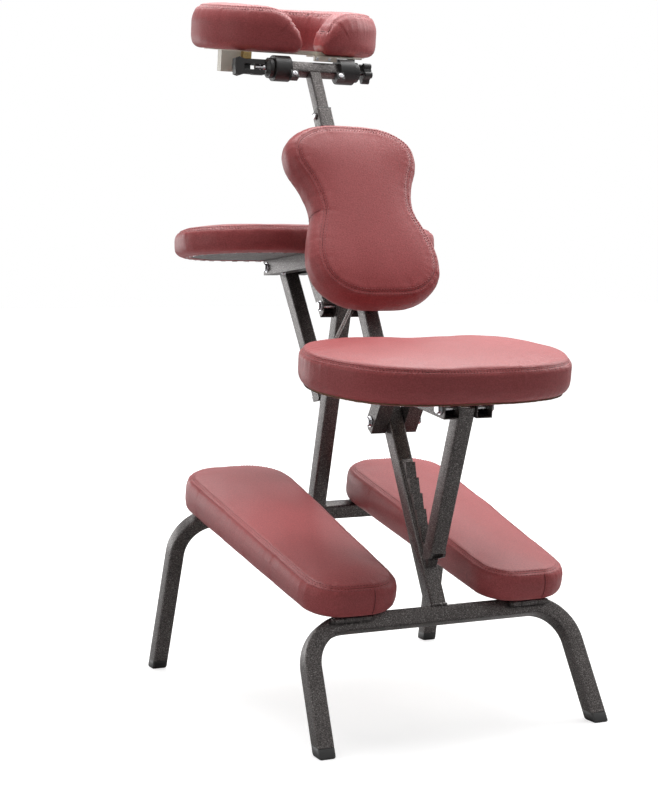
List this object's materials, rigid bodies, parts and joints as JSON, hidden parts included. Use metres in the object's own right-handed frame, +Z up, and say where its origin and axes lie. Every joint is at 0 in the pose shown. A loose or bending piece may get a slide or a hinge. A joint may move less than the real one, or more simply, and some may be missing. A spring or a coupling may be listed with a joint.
{
  "type": "kneeling massage chair",
  "caption": "Folding kneeling massage chair: leaning square-tube frames with padded seat, knee rests, chest rest, armrest and a tilting face cradle on a sliding post.",
  "frame": {"origin": "on the floor under the middle of the chair", "axes": "+Z up; the sitter faces +Y; X across the chair"},
  "size_m": [0.5374, 0.8172, 1.1322],
  "materials": {
    "frame_paint": "hammered dark brown-grey powder coat, satin",
    "zinc": "bright zinc-plated hardware",
    "vinyl": "dusty burgundy upholstery vinyl, fine grain, satin",
    "plywood": "raw plywood",
    "lining": "grey non-woven lining over the board",
    "black_plastic": "moulded, matte",
    "cream_plastic": "moulded, satin",
    "brass": "brass plated, satin",
    "cable": "braided, light grey sheath"
  },
  "bodies": {
    "rear_frame": {"rear_u_frame": "frame_paint", "main_post": "frame_paint", "seat_ratchet": "frame_paint", "rear_foot_caps": "black_plastic", "fold_bracket": "frame_paint", "fold_bolt": "zinc", "post_bushing": "black_plastic", "height_pin_boss": "frame_paint", "seat_pivot_bolt": "zinc", "knee_hinge_tabs": "frame_paint", "knee_hinge_pins": "frame_paint", "cable_lug_rear": "zinc"},
    "height_plunger": {"height_pin": "zinc"},
    "front_frame": {"front_u_frame": "frame_paint", "front_post": "frame_paint", "armrest_notch_bar": "frame_paint", "front_foot_caps": "black_plastic", "armrest_pivot_bolt": "zinc", "stay_cable": "cable", "cable_lug_front": "zinc"},
    "seat": {"seat_rails": "frame_paint", "seat_board": "plywood", "seat_cushion": "vinyl", "seat_screws": "zinc", "seat_brace": "frame_paint", "seat_strut_bolt": "zinc"},
    "seat_prop": {"seat_strut": "frame_paint", "seat_strut_shoe": "frame_paint"},
    "armrest": {"armrest_rails": "frame_paint", "armrest_board": "lining", "armrest_cushion": "vinyl", "armrest_screws": "zinc", "armrest_strut_bolt": "zinc"},
    "armrest_prop": {"armrest_strut": "frame_paint", "armrest_strut_shoe": "frame_paint"},
    "chest_rest": {"chest_bracket": "frame_paint", "chest_board": "plywood", "chest_cushion": "vinyl", "chest_screws": "zinc"},
    "chest_clamp": {"chest_knob": "black_plastic"},
    "left_knee_pad": {"left_knee_board": "plywood", "left_knee_cushion": "vinyl", "left_knee_hinge": "frame_paint"},
    "right_knee_pad": {"right_knee_board": "plywood", "right_knee_cushion": "vinyl", "right_knee_hinge": "frame_paint"},
    "head_mast": {"head_post": "frame_paint", "head_crossbar": "frame_paint", "clamp_collars": "black_plastic", "clamp_rod": "zinc"},
    "face_cradle": {"cradle_hubs": "black_plastic", "cradle_strap": "brass", "head_plate": "cream_plastic", "head_brackets": "cream_plastic", "face_cushion": "vinyl", "cradle_screws": "zinc"},
    "cradle_lever": {"cam_lever": "black_plastic"},
    "cradle_knob": {"star_knob": "black_plastic"}
  },
  "joints": [
    {"name": "frame_fold", "type": "hinge", "parent": "rear_frame", "child": "front_frame", "pos_m": [0, 0.02964, 0.667], "axis": [-1, 0, 0], "range_deg": [0, 38], "deforming": ["stay_cable"]},
    {"name": "left_knee_lift", "type": "hinge", "parent": "rear_frame", "child": "left_knee_pad", "pos_m": [-0.145, -0.28945, 0.17001], "axis": [1, 0, 0], "range_deg": [0, 27.4]},
    {"name": "right_knee_lift", "type": "hinge", "parent": "rear_frame", "child": "right_knee_pad", "pos_m": [0.145, -0.28945, 0.17001], "axis": [1, 0, 0], "range_deg": [0, 27.4]},
    {"name": "seat_tilt", "type": "hinge", "parent": "rear_frame", "child": "seat", "pos_m": [0, -0.1299, 0.433], "axis": [-1, 0, 0], "range_deg": [0, 20]},
    {"name": "seat_strut_swing", "type": "hinge", "parent": "seat", "child": "seat_prop", "pos_m": [0, -0.34645, 0.4682], "axis": [-1, 0, 0], "range_deg": [-20, 0]},
    {"name": "armrest_tilt", "type": "hinge", "parent": "front_frame", "child": "armrest", "pos_m": [0, 0.04843, 0.60477], "axis": [1, 0, 0], "range_deg": [0, 13]},
    {"name": "armrest_strut_swing", "type": "hinge", "parent": "armrest", "child": "armrest_prop", "pos_m": [0, 0.26957, 0.66714], "axis": [1, 0, 0], "range_deg": [-10.4, 0]},
    {"name": "chest_slide", "type": "slide", "parent": "rear_frame", "child": "chest_rest", "axis": [0, 0.4664, 0.8846], "range_m": [0, 0.06]},
    {"name": "chest_knob_turn", "type": "hinge", "parent": "chest_rest", "child": "chest_clamp", "pos_m": [0, 0.05688, 0.78728], "axis": [0, 0.8846, -0.4664], "continuous": true},
    {"name": "head_slide", "type": "slide", "parent": "rear_frame", "child": "head_mast", "axis": [0, 0.4664, 0.8846], "range_m": [0, 0.28]},
    {"name": "height_pin_pull", "type": "slide", "parent": "rear_frame", "child": "height_plunger", "axis": [-1, 0, 0], "range_m": [0, 0.005], "stiffness_N_per_m": 500},
    {"name": "cradle_tilt", "type": "hinge", "parent": "head_mast", "child": "face_cradle", "pos_m": [0, 0.16509, 0.9925], "axis": [1, 0, 0], "range_deg": [-20, 30]},
    {"name": "cam_lever_flip", "type": "hinge", "parent": "head_mast", "child": "cradle_lever", "pos_m": [-0.094, 0.16509, 0.9925], "axis": [0, 0, 1], "range_deg": [0, 95]},
    {"name": "star_knob_turn", "type": "hinge", "parent": "head_mast", "child": "cradle_knob", "pos_m": [0.096, 0.16509, 0.9925], "axis": [1, 0, 0], "continuous": true}
  ],
  "couplings": [
    {"joint": "left_knee_lift", "follows": "frame_fold", "ratio": 0.72},
    {"joint": "right_knee_lift", "follows": "frame_fold", "ratio": 0.72},
    {"joint": "seat_strut_swing", "follows": "seat_tilt", "ratio": -1},
    {"joint": "armrest_strut_swing", "follows": "armrest_tilt", "ratio": -0.8}
  ]
}
